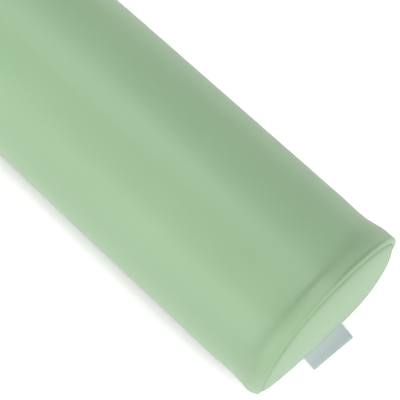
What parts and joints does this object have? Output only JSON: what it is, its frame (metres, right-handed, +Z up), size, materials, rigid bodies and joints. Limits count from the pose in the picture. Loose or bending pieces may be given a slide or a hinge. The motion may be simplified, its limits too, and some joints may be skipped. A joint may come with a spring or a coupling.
{
  "type": "massage roller",
  "caption": "Long cylindrical massage roller: a foam core in a pale green sewn leathercloth cover, with a lengthwise zip and a bare ribbon label in the end seam.",
  "frame": {"origin": "middle of the flat strip along the underside that the roller rests on", "axes": "+X along the roller towards the end with the label, +Z up out of the surface it lies on, +Y across towards the side with the zip"},
  "size_m": [0.628, 0.1522, 0.1503],
  "materials": {
    "leathercloth": "satin",
    "foam": "matte",
    "satin_ribbon": "satin",
    "zip_tape": "matte",
    "zip_coil": "satin",
    "zip_nickel": "satin"
  },
  "bodies": {
    "roller": {"foam_core": "foam", "side_panel": "leathercloth", "end_disc_front": "leathercloth", "end_disc_rear": "leathercloth", "label": "satin_ribbon", "zip_tape_left": "zip_tape", "zip_tape_right": "zip_tape", "zip_coil_left": "zip_coil", "zip_coil_right": "zip_coil", "zip_top_stop_left": "zip_nickel", "zip_top_stop_right": "zip_nickel", "zip_bottom_stop": "zip_nickel"},
    "slider": {"zip_slider": "zip_nickel"},
    "pull": {"zip_pull": "zip_nickel"}
  },
  "joints": [
    {"name": "zip_slide", "type": "slide", "parent": "roller", "child": "slider", "axis": [1, 0, 0], "range_m": [0, 0.477]},
    {"name": "pull_swing", "type": "hinge", "parent": "slider", "child": "pull", "pos_m": [-0.2385, 0.05391, 0.02023], "axis": [0, 0.7071, 0.7071], "range_deg": [-85, 85]}
  ]
}
